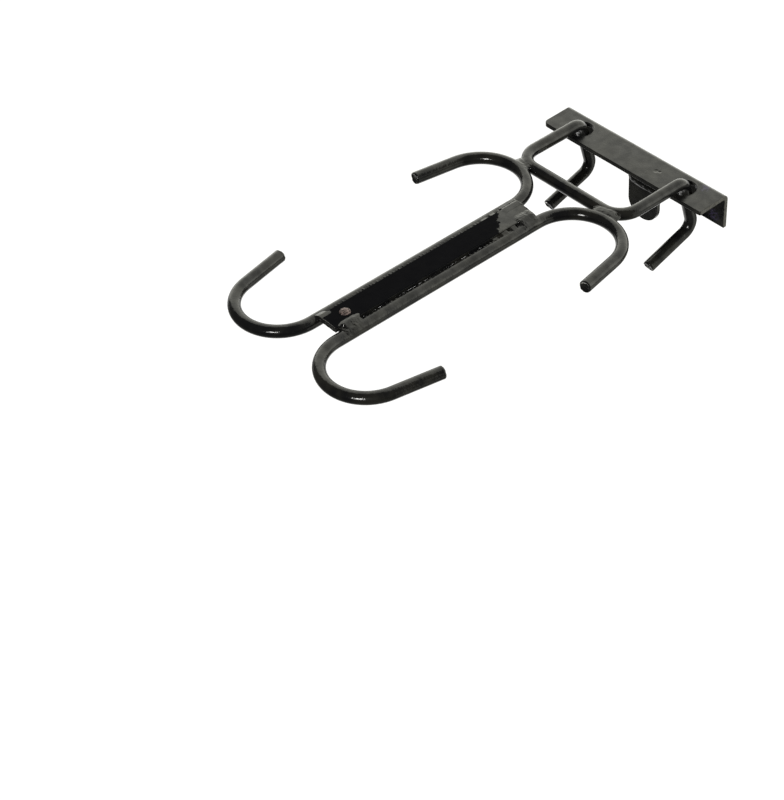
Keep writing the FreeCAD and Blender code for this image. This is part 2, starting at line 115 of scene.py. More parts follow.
def grain(place, pitch, seed):
    """Smooth noise from -1 to 1 with features of about `pitch` metres."""
    return noise.noise(Vector(place) / pitch + Vector((seed * 17.3, seed * 5.1, seed * 9.7)))


# --- materials -------------------------------------------------------------

class Nodes:
    """A material's node tree, with short ways to add nodes and links."""

    def __init__(self, name):
        self.material = bpy.data.materials.new(name)
        self.material.use_nodes = True
        self.tree = self.material.node_tree
        self.shader = self.tree.nodes["Principled BSDF"]
        coordinates = self.tree.nodes.new("ShaderNodeTexCoord")
        self.place = coordinates.outputs["Object"]
        self.normal = coordinates.outputs["Normal"]

    def link(self, source, target):
        self.tree.links.new(source, target)

    def noise(self, scale, detail, stretch=None):
        """Noise over the object's own coordinates; scale is features per metre."""
        node = self.tree.nodes.new("ShaderNodeTexNoise")
        node.inputs["Scale"].default_value = scale
        node.inputs["Detail"].default_value = detail
        self.link(self.stretched(stretch), node.inputs["Vector"])
        return node.outputs["Fac"]

    def stretched(self, scale):
        """The object's own coordinates, scaled by (x, y, z) if that is given."""
        if not scale:
            return self.place
        mapping = self.tree.nodes.new("ShaderNodeMapping")
        mapping.inputs["Scale"].default_value = scale
        self.link(self.place, mapping.inputs["Vector"])
        return mapping.outputs["Vector"]

    def specks(self, scale, size):
        """1 in the middle of small round specks, 0 elsewhere."""
        node = self.tree.nodes.new("ShaderNodeTexVoronoi")
        node.inputs["Scale"].default_value = scale
        self.link(self.place, node.inputs["Vector"])
        return self.span(node.outputs["Distance"], size, 0.0, 0.0, 1.0)

    def span(self, value, low, high, out_low=0.0, out_high=1.0):
        """Maps low..high to out_low..out_high, clamped."""
        node = self.tree.nodes.new("ShaderNodeMapRange")
        node.interpolation_type = "SMOOTHSTEP"
        for key, number in (("From Min", low), ("From Max", high),
                            ("To Min", out_low), ("To Max", out_high)):
            node.inputs[key].default_value = number
        self.link(value, node.inputs["Value"])
        return node.outputs["Result"]

    def patches(self, look, out_low=0.0, out_high=1.0, stretch=None):
        """Noise by (scale, detail, low, high), with low..high mapped to out_low..out_high."""
        scale, detail, low, high = look
        return self.span(self.noise(scale, detail, stretch), low, high, out_low, out_high)

    def math(self, operation, first, second=0.0):
        """One arithmetic step; each operand is a socket or a number."""
        node = self.tree.nodes.new("ShaderNodeMath")
        node.operation = operation
        for slot, value in enumerate((first, second)):
            if isinstance(value, (int, float)):
                node.inputs[slot].default_value = value
            else:
                self.link(value, node.inputs[slot])
        return node.outputs["Value"]

    def part(self, vector, axis):
        """One of the three numbers of a vector such as self.place or self.normal."""
        node = self.tree.nodes.new("ShaderNodeSeparateXYZ")
        self.link(vector, node.inputs[0])
        return node.outputs[axis]

    def near(self, centre, radius, edge, stretch=None):
        """1 within radius of a place on the object, 0 beyond radius + edge."""
        node = self.tree.nodes.new("ShaderNodeVectorMath")
        node.operation = "DISTANCE"
        self.link(self.stretched(stretch), node.inputs[0])
        node.inputs[1].default_value = centre
        return self.span(node.outputs["Value"], radius + edge, radius)

    def mix(self, share, first, second):
        """Mixes two colours; each is a socket or an (r, g, b)."""
        node = self.tree.nodes.new("ShaderNodeMix")
        node.data_type = "RGBA"
        self.link(share, node.inputs["Factor"])
        sockets = [item for item in node.inputs if item.type == "RGBA"]
        for socket, colour in zip(sockets, (first, second)):
            if isinstance(colour, tuple):
                socket.default_value = (*colour, 1)
            else:
                self.link(colour, socket)
        return next(item for item in node.outputs if item.type == "RGBA")

    def bump(self, height, distance, below=None):
        """Adds a bump of the given depth in metres on top of another one."""
        node = self.tree.nodes.new("ShaderNodeBump")
        node.inputs["Distance"].default_value = distance
        node.inputs["Strength"].default_value = 1.0
        self.link(height, node.inputs["Height"])
        if below:
            self.link(below, node.inputs["Normal"])
        return node.outputs["Normal"]


PAINT_DARK = (0.0034, 0.0034, 0.0039)
PAINT_DUSTY = (0.0090, 0.0086, 0.0074)
SCUFFED = (0.030, 0.025, 0.050)
THIN_PAINT = (0.050, 0.048, 0.042)
# Painted shade: the strip's front top is darker and duller, standing in for the reflection and
# shade of a boot lying on it.
BOOT_REFLECTION_PAINT = (0.0018, 0.0018, 0.0026)
GLOSS = 0.27                # the paint's specular level
BOOT_REFLECTION_GLOSS = 0.03         # how much of that is left in the painted boot reflection on the strip
LEAST_TINT = 0.56           # how much of its mirroring head on is left in its dull patches

# Patches in the paint: features per metre, detail, and the noise's range in use.
DUST = (70, 6, 0.38, 0.66)
SCRATCHES = (900, 4, 0.44, 0.60)
SHEARED = (600, 3, 0.25, 0.60)
SMOOTHNESS = (90, 4, 0.30, 0.70)
SHEEN = (140, 5, 0.32, 0.68)
# The last one is the ragged outline of the painted boot reflection on the strip.
BOOT_REFLECTION_OUTLINE = (260, 4, 0.30, 0.70)

# Bumps in the paint: features per metre and detail, and the depth of some. For the
# specks it is their size instead of detail, as a share of their spacing.
WAVES = (80, 1)
RIPPLES, RIPPLE_DEPTH = (230, 2), 0.10 * MM
ORANGE_PEEL = (760, 2)
SPECKS, SPECK_HEIGHT = (210, 0.09), 0.04 * MM
DENT_DEPTH, DENT_FLOOR = 0.35 * MM, 0.3     # the floor is a share of a dent's radius

SHEAR_EDGE = 0.3 * MM       # over which the thin paint begins
BOOT_REFLECTION_EDGE = 1.0 * MM         # over which the painted boot reflection ends
BOOT_REFLECTION_SLANT = 0.9             # of the line where it ends, in Y per X
TOP_FACE = (0.5, 0.2)       # a normal's Z is more on a top face, and less on any other


def scuffed(n, colour, scuffs):
    """The colour, scratched around each of some (centre, radius)."""
    for centre, radius in scuffs:
        scratched = n.patches(SCRATCHES, stretch=(1, 0.5, 1))
        share = n.math("MULTIPLY", n.near(centre, radius, radius), scratched)
        colour = n.mix(share, colour, SCUFFED)
    return colour


def sheared(n, colour, ends):
    """The colour, with metal showing through it on the faces at +-`ends` in X."""
    from_middle = n.math("ABSOLUTE", n.part(n.place, X))
    beyond = n.span(from_middle, ends - SHEAR_EDGE, ends)
    return n.mix(n.math("MULTIPLY", beyond, n.patches(SHEARED)), colour, THIN_PAINT)


# Mask of the painted boot reflection and shade: 0 where they are painted on the strip's top.
def outside_boot_reflection(n, end, width):
    """0 on the top faces in front of a slanted line at Y `end`, ragged over `width`, else 1."""
    ragged = n.math("MULTIPLY", n.patches(BOOT_REFLECTION_OUTLINE), width)
    slant = n.math("MULTIPLY", n.part(n.place, X), BOOT_REFLECTION_SLANT)
    slanted = n.math("ADD", n.part(n.place, Y), slant)
    behind = n.span(n.math("SUBTRACT", slanted, ragged), end - BOOT_REFLECTION_EDGE, end)
    return n.math("MAXIMUM", behind, n.span(n.part(n.normal, Z), *TOP_FACE))


def paint_bumps(n, wave, peel, dents):
    """The paint's waves, ripples, orange peel, specks of dust and dents."""
    normal = n.bump(n.noise(*WAVES), wave)
    normal = n.bump(n.noise(*RIPPLES), RIPPLE_DEPTH, below=normal)
    normal = n.bump(n.noise(*ORANGE_PEEL), peel, below=normal)
    normal = n.bump(n.specks(*SPECKS), SPECK_HEIGHT, below=normal)
    for centre, radius in dents:
        dent = n.near(centre, DENT_FLOOR * radius, radius)
        normal = n.bump(dent, -DENT_DEPTH, below=normal)
    return normal


def black_paint(name, peel=0.08 * MM, wave=0.22 * MM, rough=(0.10, 0.22), scuffs=(), dents=(),
                ends=None, painted_boot_reflection=None):
    """Gloss black paint on rough steel: orange peel, dust, and duller and shinier patches.

    `peel` and `wave` are depths, and `rough` is the roughness of its smooth and of
    its dull patches. `scuffs` and `dents` list (centre, radius) of scratched and of
    dented places, beyond `ends` from the middle the sheared metal shows through the
    paint, and the last argument is (a Y, a ragged edge's width): in front of that Y
    its top is darker and duller, a painted reflection and shade of a boot lying there.
    """
    n = Nodes(name)
    inputs = n.shader.inputs
    inputs["Specular IOR Level"].default_value = GLOSS
    n.link(n.patches(SHEEN, LEAST_TINT, 1.0), inputs["Specular Tint"])
    n.link(n.patches(SMOOTHNESS, *rough), inputs["Roughness"])
    n.link(paint_bumps(n, wave, peel, dents), inputs["Normal"])
    colour = n.mix(n.patches(DUST), PAINT_DARK, PAINT_DUSTY)
    colour = scuffed(n, colour, scuffs)
    if ends:
        colour = sheared(n, colour, ends)
    # Painted shade: darker colour and less gloss in front of the line, in place of a boot's
    # reflection and shade.
    if painted_boot_reflection:
        outside_reflection = outside_boot_reflection(n, *painted_boot_reflection)
        colour = n.mix(outside_reflection, BOOT_REFLECTION_PAINT, colour)
        gloss = n.span(outside_reflection, 0.0, 1.0, BOOT_REFLECTION_GLOSS * GLOSS, GLOSS)
        n.link(gloss, inputs["Specular IOR Level"])
    n.link(colour, inputs["Base Color"])
    return n.material


def metal(name, patches, colours, pits, pit_depth, roughness, metallic):
    """Metal in two mottled colours, with shallow pits."""
    n = Nodes(name)
    n.link(n.mix(n.patches(patches), *colours), n.shader.inputs["Base Color"])
    n.link(n.bump(n.noise(*pits), pit_depth), n.shader.inputs["Normal"])
    n.shader.inputs["Roughness"].default_value = roughness
    n.shader.inputs["Metallic"].default_value = metallic
    return n.material


def rivet_metal():
    """Dull pinkish-grey metal with dark pits, its paint long gone."""
    return metal("rivet_metal", (900, 3, 0.42, 0.60), ((0.016, 0.010, 0.009), (0.15, 0.11, 0.105)),
                 pits=(1300, 3), pit_depth=0.12 * MM, roughness=0.55, metallic=0.6)


def bare_metal():
    """Bright steel where the paint is off, with dark scratches."""
    return metal("bare_metal", (1500, 4, 0.40, 0.55), ((0.30, 0.30, 0.29), (0.85, 0.85, 0.82)),
                 pits=(900, 3), pit_depth=0.05 * MM, roughness=0.35, metallic=1.0)


def wear(thing, material):
    """Gives an object one material, in place of those that it has."""
    thing.data.materials.clear()
    thing.data.materials.append(material)


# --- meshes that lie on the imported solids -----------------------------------

def in_box(point):
    """The point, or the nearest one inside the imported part's box."""
    low, high = CAD_BOX
    return Vector([min(max(value, a), b) for value, a, b in zip(point, low, high)])


def mesh_piece(name, points, faces, material, slot="black_paint", body="rack"):
    """A new smooth-shaded object from points and faces."""
    mesh = bpy.data.meshes.new(name)
    mesh.from_pydata([tuple(in_box(point)) for point in points], [], faces)
    mesh.validate()
    for face in mesh.polygons:
        face.use_smooth = True
    piece = bpy.data.objects.new(name, mesh)
    bpy.context.scene.collection.objects.link(piece)
    wear(piece, material)
    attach(piece, body)
    return piece


class Surface:
    """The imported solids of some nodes, for finding the height under a point."""

    REACH = 15 * MM         # how far out of a place and how far under it is looked

    def __init__(self, names):
        points, faces = [], []
        for name in names:
            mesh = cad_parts[name].data
            base = len(points)
            points += [vertex.co.copy() for vertex in mesh.vertices]
            faces += [[base + i for i in face.vertices] for face in mesh.polygons]
        self.tree = BVHTree.FromPolygons(points, faces)

    def height(self, place, out):
        """How far the surface lies out of `place`, or None if there is none."""
        hit = self.tree.ray_cast(place + out * self.REACH, -out, 2 * self.REACH)
        return None if hit[0] is None else (hit[0] - place).dot(out)


def middle(node):
    """The middle of a node's box."""
    low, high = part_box(node)
    return (Vector(low) + Vector(high)) / 2


ON_PLANE = middle("hook_rod_left")      # a point of the plane of the bars' centres


def to_plane(place):
    """The place straight above or below in the plane of the bars' centres."""
    return place - UP * (place - ON_PLANE).dot(UP)


def long_axis(node, out):
    """The direction along which a node is longest, square to `out`."""
    points = np.array([vertex.co[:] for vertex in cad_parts[node].data.vertices])
    axis = Vector(np.linalg.svd(points - points.mean(axis=0), full_matrices=False)[2][0])
    axis = (axis - out * axis.dot(out)).normalized()
    return -axis if axis.dot(ACROSS + TO_WALL) < 0 else axis


CELL = 0.25 * MM            # the step of a lump's grid
LEAST_STEPS = 8             # of a grid's side
LEAST_CELLS = 12            # a patch with fewer cells is a crumb
SINK = 0.02 * MM            # how far a lump's rim lies under the surface around it
SUNK = 0.99 * SINK          # a lump that lies this deep isn't seen
DIP = 0.8                   # a lump dips under the surface from this share of its reach on


def corners(i, j):
    """The four corners of a grid cell, in order round it."""
    return (i, j), (i + 1, j), (i + 1, j + 1), (i, j + 1)


def pinched(cells):
    """The grid cells that meet one in the next row only at a corner."""
    return {(i, j) for i, j in cells for k in (i - 1, i + 1)
            if (k, j + 1) in cells and (k, j) not in cells and (i, j + 1) not in cells}


def whole_patches(cells):
    """The grid cells without crumbs and without those that meet only at a corner."""
    while pinched(cells):
        cells = cells - pinched(cells)
    kept, left = set(), set(cells)
    while left:
        patch, ahead = set(), [min(left)]
        while ahead:
            i, j = ahead.pop()
            if (i, j) in left:
                left.remove((i, j))
                patch.add((i, j))
                ahead += [(i + 1, j), (i - 1, j), (i, j + 1), (i, j - 1)]
        if len(patch) >= LEAST_CELLS:
            kept |= patch
    return kept


def closed_lump(top, bottom, quads):
    """Points and faces of a closed shape between two sheets over some grid cells."""
    spots = sorted({spot for quad in quads for spot in quad})
    number = {spot: i for i, spot in enumerate(spots)}
    points = [top[spot] for spot in spots] + [bottom[spot] for spot in spots]
    below = len(spots)
    quads = [tuple(number[spot] for spot in quad) for quad in quads]
    edges = [(quad[k], quad[(k + 1) % 4]) for quad in quads for k in range(4)]
    rim = set(edges)
    faces = quads + [tuple(below + i for i in reversed(quad)) for quad in quads]
    faces += [(b, a, below + a, below + b) for a, b in edges if (b, a) not in rim]
    return points, faces


def settled(height, under, root, blend, rim):
    """A lump's height over a surface at the height `under`, or None past its end.

    It meets the surface in a fillet, and dips under it as `rim` goes to 1. Where
    nothing is under it, it ends where it comes down to its root.
    """
    if under is None:
        return None if height < root + SINK else height
    height -= (height - under + SINK + blend) * smooth_step(DIP, 1.0, rim)
    return smooth_max(under - SINK, height, blend) if height > under - SINK - blend else height


def skin(name, nodes, place, along, out, reach, fill, root, material, blend, body="rack"):
    """A closed lump of metal or paint that lies in and over the given nodes.

    Its top follows `fill`, a height over (s along, t across), where that stands
    out of the solids, and meets them in a fillet of about `blend`. `root` is the
    height of its underside, inside the joint.
    """
    surface = Surface(nodes)
    across = out.cross(along)
    columns, rows = (max(LEAST_STEPS, round(2 * half / CELL)) for half in reach)
    top, bottom, proud = {}, {}, set()
    for i in range(columns + 1):
        s = reach[0] * (2 * i / columns - 1)
        for j in range(rows + 1):
            t = reach[1] * (2 * j / rows - 1)
            spot = place + along * s + across * t
            under = surface.height(spot, out)
            rim = max(abs(s) / reach[0], abs(t) / reach[1])
            height = settled(fill(s, t), under, root, blend, rim)
            if height is None:
                continue
            if under is None or height > under - SUNK:
                proud.add((i, j))
            top[i, j] = spot + out * height
            bottom[i, j] = spot + out * min(root, height - SINK)
    cells = {(i, j) for i in range(columns) for j in range(rows)
             if all(c in top for c in corners(i, j)) and any(c in proud for c in corners(i, j))}
    quads = [corners(i, j) for i, j in sorted(whole_patches(cells))]
    return mesh_piece(name, *closed_lump(top, bottom, quads), material, body=body)


def pitted(height, s, t, pits):
    """A height with round flat-bottomed pits, each (s, t, radius, depth)."""
    for pit_s, pit_t, radius, depth in pits:
        spread = ((s - pit_s) ** 2 + (t - pit_t) ** 2) / radius ** 2
        height -= depth * math.exp(-spread * spread)
    return height


# A bead's middle strays to the sides, and its top swells and ripples.
WANDER, WANDER_PITCH = 0.5 * MM, 6.0 * MM
SWELL_PITCH = 3.4 * MM
RIPPLE, RIPPLE_PITCH = 0.9, 1.5 * MM    # the first is a share of the swell
RIPPLE_STRETCH = 0.6                    # along the bead


def bead(crown, drop, half, seed, swell, pits=()):
    """The height of a weld between two bars over (s along it, t across it).

    `drop` is how far it falls from the crown to its oval outline, whose half
    length and half width are `half`, and `swell` is how uneven it is.
    """
    def fill(s, t):
        off = WANDER * grain((s, 0, 0), WANDER_PITCH, seed)
        away = abs(s / half[0]) ** 3 + abs((t - off) / half[1]) ** 3
        height = crown - drop * away + swell * grain((s, t, 0), SWELL_PITCH, seed)
        height += RIPPLE * swell * grain((RIPPLE_STRETCH * s, t, 0), RIPPLE_PITCH, seed + 1)
        return pitted(height, s, t, pits)
    return fill


# A pad over the strip's edge. Its outline is ragged, in two sizes, and the places
# are counted outwards from that edge.
RAGGED, RAGGED_PITCH = 0.5, 3.0 * MM
FINE, FINE_PITCH = 0.6, 1.2 * MM        # the first is a share of the coarse raggedness
FALL = (-0.5 * MM, 4.0 * MM)            # where its top falls from the strip's level to the rail's
ROUND = 3.4 * MM                        # where it begins to turn down round the rail
GROOVE = ((-0.6 * MM, 0.2 * MM), (4.0 * MM, 2.4 * MM))      # its two soft sides
GROOVE_DROP = 3.0 * MM                  # how fast it falls away along the groove
END_SLOPE, END_REACH = 4.0, 2.5 * MM    # how it falls away past the strip's end


def pad(corner, outward, reach, lift, seed, pits):
    """The height of a weld run over the strip's edge and onto the rail beside it.

    Its top slopes from the strip's top face to the crown of the rail and round
    it, `lift` above both. `corner` is the strip's corner as (s, t), and `reach` is
    where the weld starts and ends along the edge from there, and how far it goes in
    over the strip and out from the edge.
    """
    start, end, inner, outer = reach
    middle_s, half_s = (start + end) / 2, (end - start) / 2
    middle_o, half_o = (outer - inner) / 2, (outer + inner) / 2
    beyond = 1 if abs(end) < abs(start) else -1

    def fill(s, t):
        s, o = s - corner[0], outward * (corner[1] - t)
        ragged = grain((s, t, 0), RAGGED_PITCH, seed)
        ragged += FINE * grain((s, t, 0), FINE_PITCH, seed + 1)
        away = ((s - middle_s) / half_s) ** 4 + ((o - middle_o) / half_o) ** 4 + RAGGED * ragged
        level = STRIP_TOP - (STRIP_TOP - BAR_TOP) * smooth_step(*FALL, o)
        level -= max(0, o - ROUND) ** 2 / (2 * BAR_TOP)
        groove = smooth_step(*GROOVE[0], o) * smooth_step(*GROOVE[1], o)
        height = level + lift * (1 - away) - GROOVE_DROP * max(0, away - 1) * groove
        height -= END_SLOPE * max(0, beyond * s) * smooth_step(END_REACH, 0.0, o)
        return pitted(height, s, o, pits)
    return fill


# --- the welds ---------------------------------------------------------------

WELD_FILLET = 0.5 * MM      # of the welds on the strip and on the tab

# Each hook weld in millimetres: half length and width, shift along, crown above
# the bars' crowns, unevenness, fillet, and pits as (s, t, radius, depth).
HOOK_WELDS = {
    "left": ((7.5, 4.4), -1.2, -0.45, 0.28, 1.4, ((7.0, 0.0, 1.4, 1.6),)),
    "right": ((8.2, 4.2), 1.6, 0.12, 0.13, 0.6, ((7.2, 1.8, 1.2, 1.1),)),
}
HOOK_WELD_DROP, HOOK_WELD_ROOT = 1.4 * MM, 1.6 * MM
HOOK_WELD_MARGIN = (4.0 * MM, 3.0 * MM)     # its grid goes on so far past its outline


def hook_welds(material):
    """The two welds between the rear hooks and the bent bar, filled nearly flush."""
    for seed, (side, look) in enumerate(HOOK_WELDS.items(), start=HOOK_WELD_SEED):
        half, shift, crown, uneven, blend, pits = metres(look)
        node = f"hook_weld_{side}"
        along = long_axis(node, UP)
        place = to_plane(middle(node)) + along * shift
        reach = (half[0] + HOOK_WELD_MARGIN[0], half[1] + HOOK_WELD_MARGIN[1])
        fill = bead(BAR_TOP + crown, HOOK_WELD_DROP, half, seed, uneven, pits)
        lump = skin(f"flush_weld_{side}", ("hinge_rod", f"hook_rod_{side}"), place, along, UP,
                    reach, fill, HOOK_WELD_ROOT, material, blend)
        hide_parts(node)


# Each corner's weld in millimetres: start and end along from the corner with reach
# in and out, lift, and pits as (s, outwards, radius, depth).
STRIP_WELDS = {
    "rear_left": ((-13.0, 1.0, 4.0, 5.0), 0.08, ((-14.2, 0.7, 1.4, 2.4),)),
    "rear_right": ((-13.0, 1.0, 4.9, 6.0), 0.58, ((-13.6, 1.0, 1.3, 2.2), (-12.4, 3.0, 0.9, 1.0))),
    "front_left": ((-1.0, 6.5, 2.2, 3.0), 0.08, ((7.4, 0.6, 1.2, 1.6),)),
    "front_right": ((3.5, 17.5, 2.4, 6.0), 0.40, ((18.8, 0.9, 1.2, 1.8), (4.5, 0.6, 1.3, 1.6))),
}
STRIP_WELD_ROOT = 3.0 * MM
STRIP_WELD_MARGIN = (2.0 * MM, 1.5 * MM)    # as for the hook welds
BEVEL = 0.6 * MM            # the strip's corners are rounded by less than this


def strip_corner(end, outward):
    """The strip's corner at its rear or front end, in the plane of the bars' centres."""
    toward = TO_WALL if end == "rear" else -TO_WALL
    points = [vertex.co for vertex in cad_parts["centre_strip"].data.vertices
              if vertex.co.x * outward > EDGE - BEVEL]
    far = max(points, key=lambda point: point.dot(toward))
    return to_plane(Vector((outward * EDGE, far.y, far.z)))


def strip_welds(material):
    """The four welds at the strip's corners, each a pad over edge and rail."""
    for seed, (corner, look) in enumerate(STRIP_WELDS.items(), start=STRIP_WELD_SEED):
        (start, stop, inner, outer), lift, pits = metres(look)
        end, side = corner.split("_")
        outward = 1 if side == "right" else -1
        place = strip_corner(end, outward) + TO_WALL * (start + stop) / 2
        place.x = outward * (EDGE + (outer - inner) / 2)
        at_corner = (-(start + stop) / 2, place.x - outward * EDGE)
        fill = pad(at_corner, outward, (start, stop, inner, outer), lift, seed, pits)
        reach = ((stop - start) / 2 + STRIP_WELD_MARGIN[0],
                 (inner + outer) / 2 + STRIP_WELD_MARGIN[1])
        lump = skin(f"corner_weld_{corner}", ("centre_strip", f"hook_rod_{side}"), place, TO_WALL,
                    UP, reach, fill, STRIP_WELD_ROOT, material, WELD_FILLET)
        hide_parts(f"strip_weld_{corner}")


def bracket_weld(material):
    """The weld between the wall flange and the tab; heights are from the wall."""
    crown, drop, root = 4.7 * MM, 1.9 * MM, 2.6 * MM
    half, reach = (12.8 * MM, 3.7 * MM), (14.0 * MM, 5.0 * MM)
    place = middle("tab_weld")
    place.y = 0
    fill = bead(crown, drop, half, TAB_WELD_SEED, swell=0.25 * MM)
    lump = skin("tab_bead", ("wall_bracket", "fixing_tab"), place, ACROSS, Vector((0, -1, 0)),
                reach, fill, root, material, WELD_FILLET, body="wall_mount")
    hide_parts("tab_weld")


# --- paint beside the strip --------------------------------------------------

# Drops on a rail, in millimetres, each number drawn from a range: the distance from
# the strip's edge, radius, crown above the bar's crown, and step to the next drop.
DROP_OFF, DROP_RADIUS, DROP_CROWN, DROP_STEP = (1.7, 2.6), (0.9, 1.4), (-0.20, 0.15), (1.8, 3.4)
DROP_GROWTH = 0.5           # how much nearer and wider they get towards the wall
DROP_SLOPE, DROP_FILLET = 0.6, 0.4 * MM
DROP_REACH = 4              # the square of how many radii a drop goes out

# The paint in the groove between the strip's edge and the rail.
GROOVE_LEVEL, FILLED_RISE = 2.9, 2.0    # its height in millimetres, and more where it is filled
GROOVE_SLOPE = 0.3                      # down to both sides of the groove
GROOVE_LUMP, GROOVE_PITCH = 0.15 * MM, 2.0 * MM
FILLED_NOISE, FILLED_PITCH = (-0.35, 0.25), 3.0 * MM
GROOVE_ROOT, GROOVE_FILLET = 1.2 * MM, 0.3 * MM
GROOVE_SIDE = 4.2 * MM                  # how far the paint may reach to each side
GROOVE_END = 3.0 * MM                   # how far it ends from the strip's ends

# Over which shares of the half length towards the wall the drops grow and the
# groove fills up.
GROWS, FILLS = (0.25, 0.70), (0.35, 0.75)


def toward_wall(s, half, shares):
    """0 to 1 over some shares of a half length."""
    return smooth_step(shares[0] * half, shares[1] * half, s)


def paint_drops(draw, half):
    """Drops from -half to half, each (place, distance from the edge, radius, crown)."""
    drops, s = [], -half
    while s < half:
        grown = DROP_GROWTH * toward_wall(s, half, GROWS)
        drops.append((s, (draw.uniform(*DROP_OFF) - grown) * MM,
                      (draw.uniform(*DROP_RADIUS) + grown) * MM,
                      BAR_TOP + draw.uniform(*DROP_CROWN) * MM))
        s += draw.uniform(*DROP_STEP) * MM
    return drops


def groove_fill(half, outward, drops):
    """The height of the paint over (s, t): low in the groove, with drops on the rail.

    Towards the wall the groove is filled in places.
    """
    def fill(s, t):
        filled = toward_wall(s, half, FILLS)
        filled *= smooth_step(*FILLED_NOISE, grain((s, 0, 0), FILLED_PITCH, FILLED_SEED))
        height = (GROOVE_LEVEL + FILLED_RISE * filled) * MM - GROOVE_SLOPE * abs(t)
        height += GROOVE_LUMP * grain((s, t, 0), GROOVE_PITCH, GROOVE_SEED)
        for centre, off, radius, crown in drops:
            away = ((s - centre) ** 2 + (t + outward * off) ** 2) / radius ** 2
            if away < DROP_REACH:
                height = smooth_max(height, crown - DROP_SLOPE * radius * away, DROP_FILLET)
        return height
    return fill


def paint_lines(material):
    """Small runs of paint and slag along each side of the strip."""
    low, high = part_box("centre_strip")
    half = (high[1] - low[1]) / math.cos(RISE) / 2 - GROOVE_END
    for seed, (side, outward) in enumerate((("left", -1), ("right", 1)), start=DROPS_SEED):
        place = to_plane(middle("centre_strip"))
        place.x = outward * EDGE
        fill = groove_fill(half, outward, paint_drops(random.Random(seed), half))
        skin(f"groove_paint_{side}", ("centre_strip", f"hook_rod_{side}"), place, TO_WALL, UP,
             (half, GROOVE_SIDE), fill, GROOVE_ROOT, material, GROOVE_FILLET)


# --- paint along edges ---------------------------------------------------------

SHARP = 0.75                # faces whose normals' product is less meet in a sharp edge
DIGITS = 6                  # places are the same when they agree to a micrometre


def sharp_edges(mesh):
    """The sharp edges of a mesh as pairs of places, each with its two faces' normals' sum."""
    sides = {}
    for face in mesh.polygons:
        spots = [tuple(round(value, DIGITS) for value in mesh.vertices[i].co)
                 for i in face.vertices]
        for k, spot in enumerate(spots):
            sides.setdefault(tuple(sorted((spots[k - 1], spot))), []).append(face.normal.copy())
    return {edge: two[0] + two[1] for edge, two in sides.items()
            if len(two) == 2 and two[0].dot(two[1]) < SHARP}


def chains(edges):
    """Runs of edges end to end, each a list of places; a closed one ends where it began."""
    joins = {}
    for a, b in edges:
        joins.setdefault(a, []).append(b)
        joins.setdefault(b, []).append(a)
    left, runs = set(edges), []
    for start in sorted(joins, key=lambda spot: (len(joins[spot]) == 2, spot)):
        for ahead in joins[start]:
            run, here, there = [start], start, ahead
            while tuple(sorted((here, there))) in left:
                left.remove(tuple(sorted((here, there))))
                run.append(there)
                if len(joins[there]) != 2 or there == start:
                    break
                here, there = there, next((spot for spot in joins[there] if spot != here), here)
            if len(run) > 1:
                runs.append(run)
    return runs


def normal_sums(edges, run):
    """The sum of the two faces' normals at each edge of a run."""
    return [edges[tuple(sorted(pair))] for pair in zip(run, run[1:])]


EDGE_STEP = 0.8 * MM        # along a painted edge
LEAST_PARTS = 3             # of a painted edge


def even_steps(run, outward):
    """Places at even steps along a run, each with the way out of the edge there."""
    places = [Vector(spot) for spot in run]
    along = np.cumsum([0] + [(b - a).length for a, b in zip(places, places[1:])])
    count = max(LEAST_PARTS, round(along[-1] / EDGE_STEP))
    at = np.linspace(0, along[-1], count + 1)
    columns = [np.interp(at, along, [vector[axis] for vector in source])
               for source in (places, outward) for axis in (X, Y, Z)]
    return [(Vector(row[:3]), Vector(row[3:])) for row in zip(*columns)]


def arms(side, other, count):
    """The spokes of a wheel from `side` by way of `other`."""
    turns = (2 * math.pi * spoke / count for spoke in range(count))
    return [side * math.cos(turn) + other * math.sin(turn) for turn in turns]


TUBE_SPOKES = 8


def tube(steps, closed, radius, uneven, pitch):
    """Points and faces of an uneven tube that touches a run of places from inside.

    Each step is a place on a solid and the way out of the solid there.
    """
    points, last = [], len(steps) - 1
    for k, (place, outward) in enumerate(steps):
        behind = steps[k - 1 if closed else max(k - 1, 0)][0]
        ahead = steps[(k + 1) % len(steps) if closed else min(k + 1, last)][0]
        tangent = (ahead - behind).normalized()
        side = (outward - tangent * outward.dot(tangent)).normalized()
        bulge = radius * (1 + uneven * grain(place, pitch, EDGE_SEED))
        points += [place - side * radius + arm * bulge
                   for arm in arms(side, tangent.cross(side), TUBE_SPOKES)]
    faces = []
    for k in range(len(steps) if closed else last):
        a, b = k * TUBE_SPOKES, (k + 1) % len(steps) * TUBE_SPOKES
        for spoke in range(TUBE_SPOKES):
            ahead = (spoke + 1) % TUBE_SPOKES
            faces.append((a + spoke, b + spoke, b + ahead, a + ahead))
    if not closed:
        faces.append(list(range(TUBE_SPOKES)))
        faces.append([last * TUBE_SPOKES + spoke for spoke in reversed(range(TUBE_SPOKES))])
    return points, faces


def edge_paint(node, material, body="rack", radius=0.34 * MM, uneven=0.22, pitch=2.6 * MM):
    """Rounds of paint along a plate's sharp edges, a little uneven."""
    edges = sharp_edges(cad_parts[node].data)
    points, faces = [], []
    for run in chains(edges):
        sums = normal_sums(edges, run)
        outward = [sums[0]] + [(a + b) / 2 for a, b in zip(sums, sums[1:])] + [sums[-1]]
        steps = even_steps(run, outward)
        closed = run[0] == run[-1]
        if closed:
            steps = steps[:-1]
        more, more_faces = tube(steps, closed, radius, uneven, pitch)
        faces += [[len(points) + i for i in face] for face in more_faces]
        points += more
    mesh_piece(f"edge_paint_{node}", points, faces, material, body=body)


# --- sawn ends and rivet -------------------------------------------------------

CHAMFER = 1.0 * MM          # a sawn end's two rims lie closer together than this


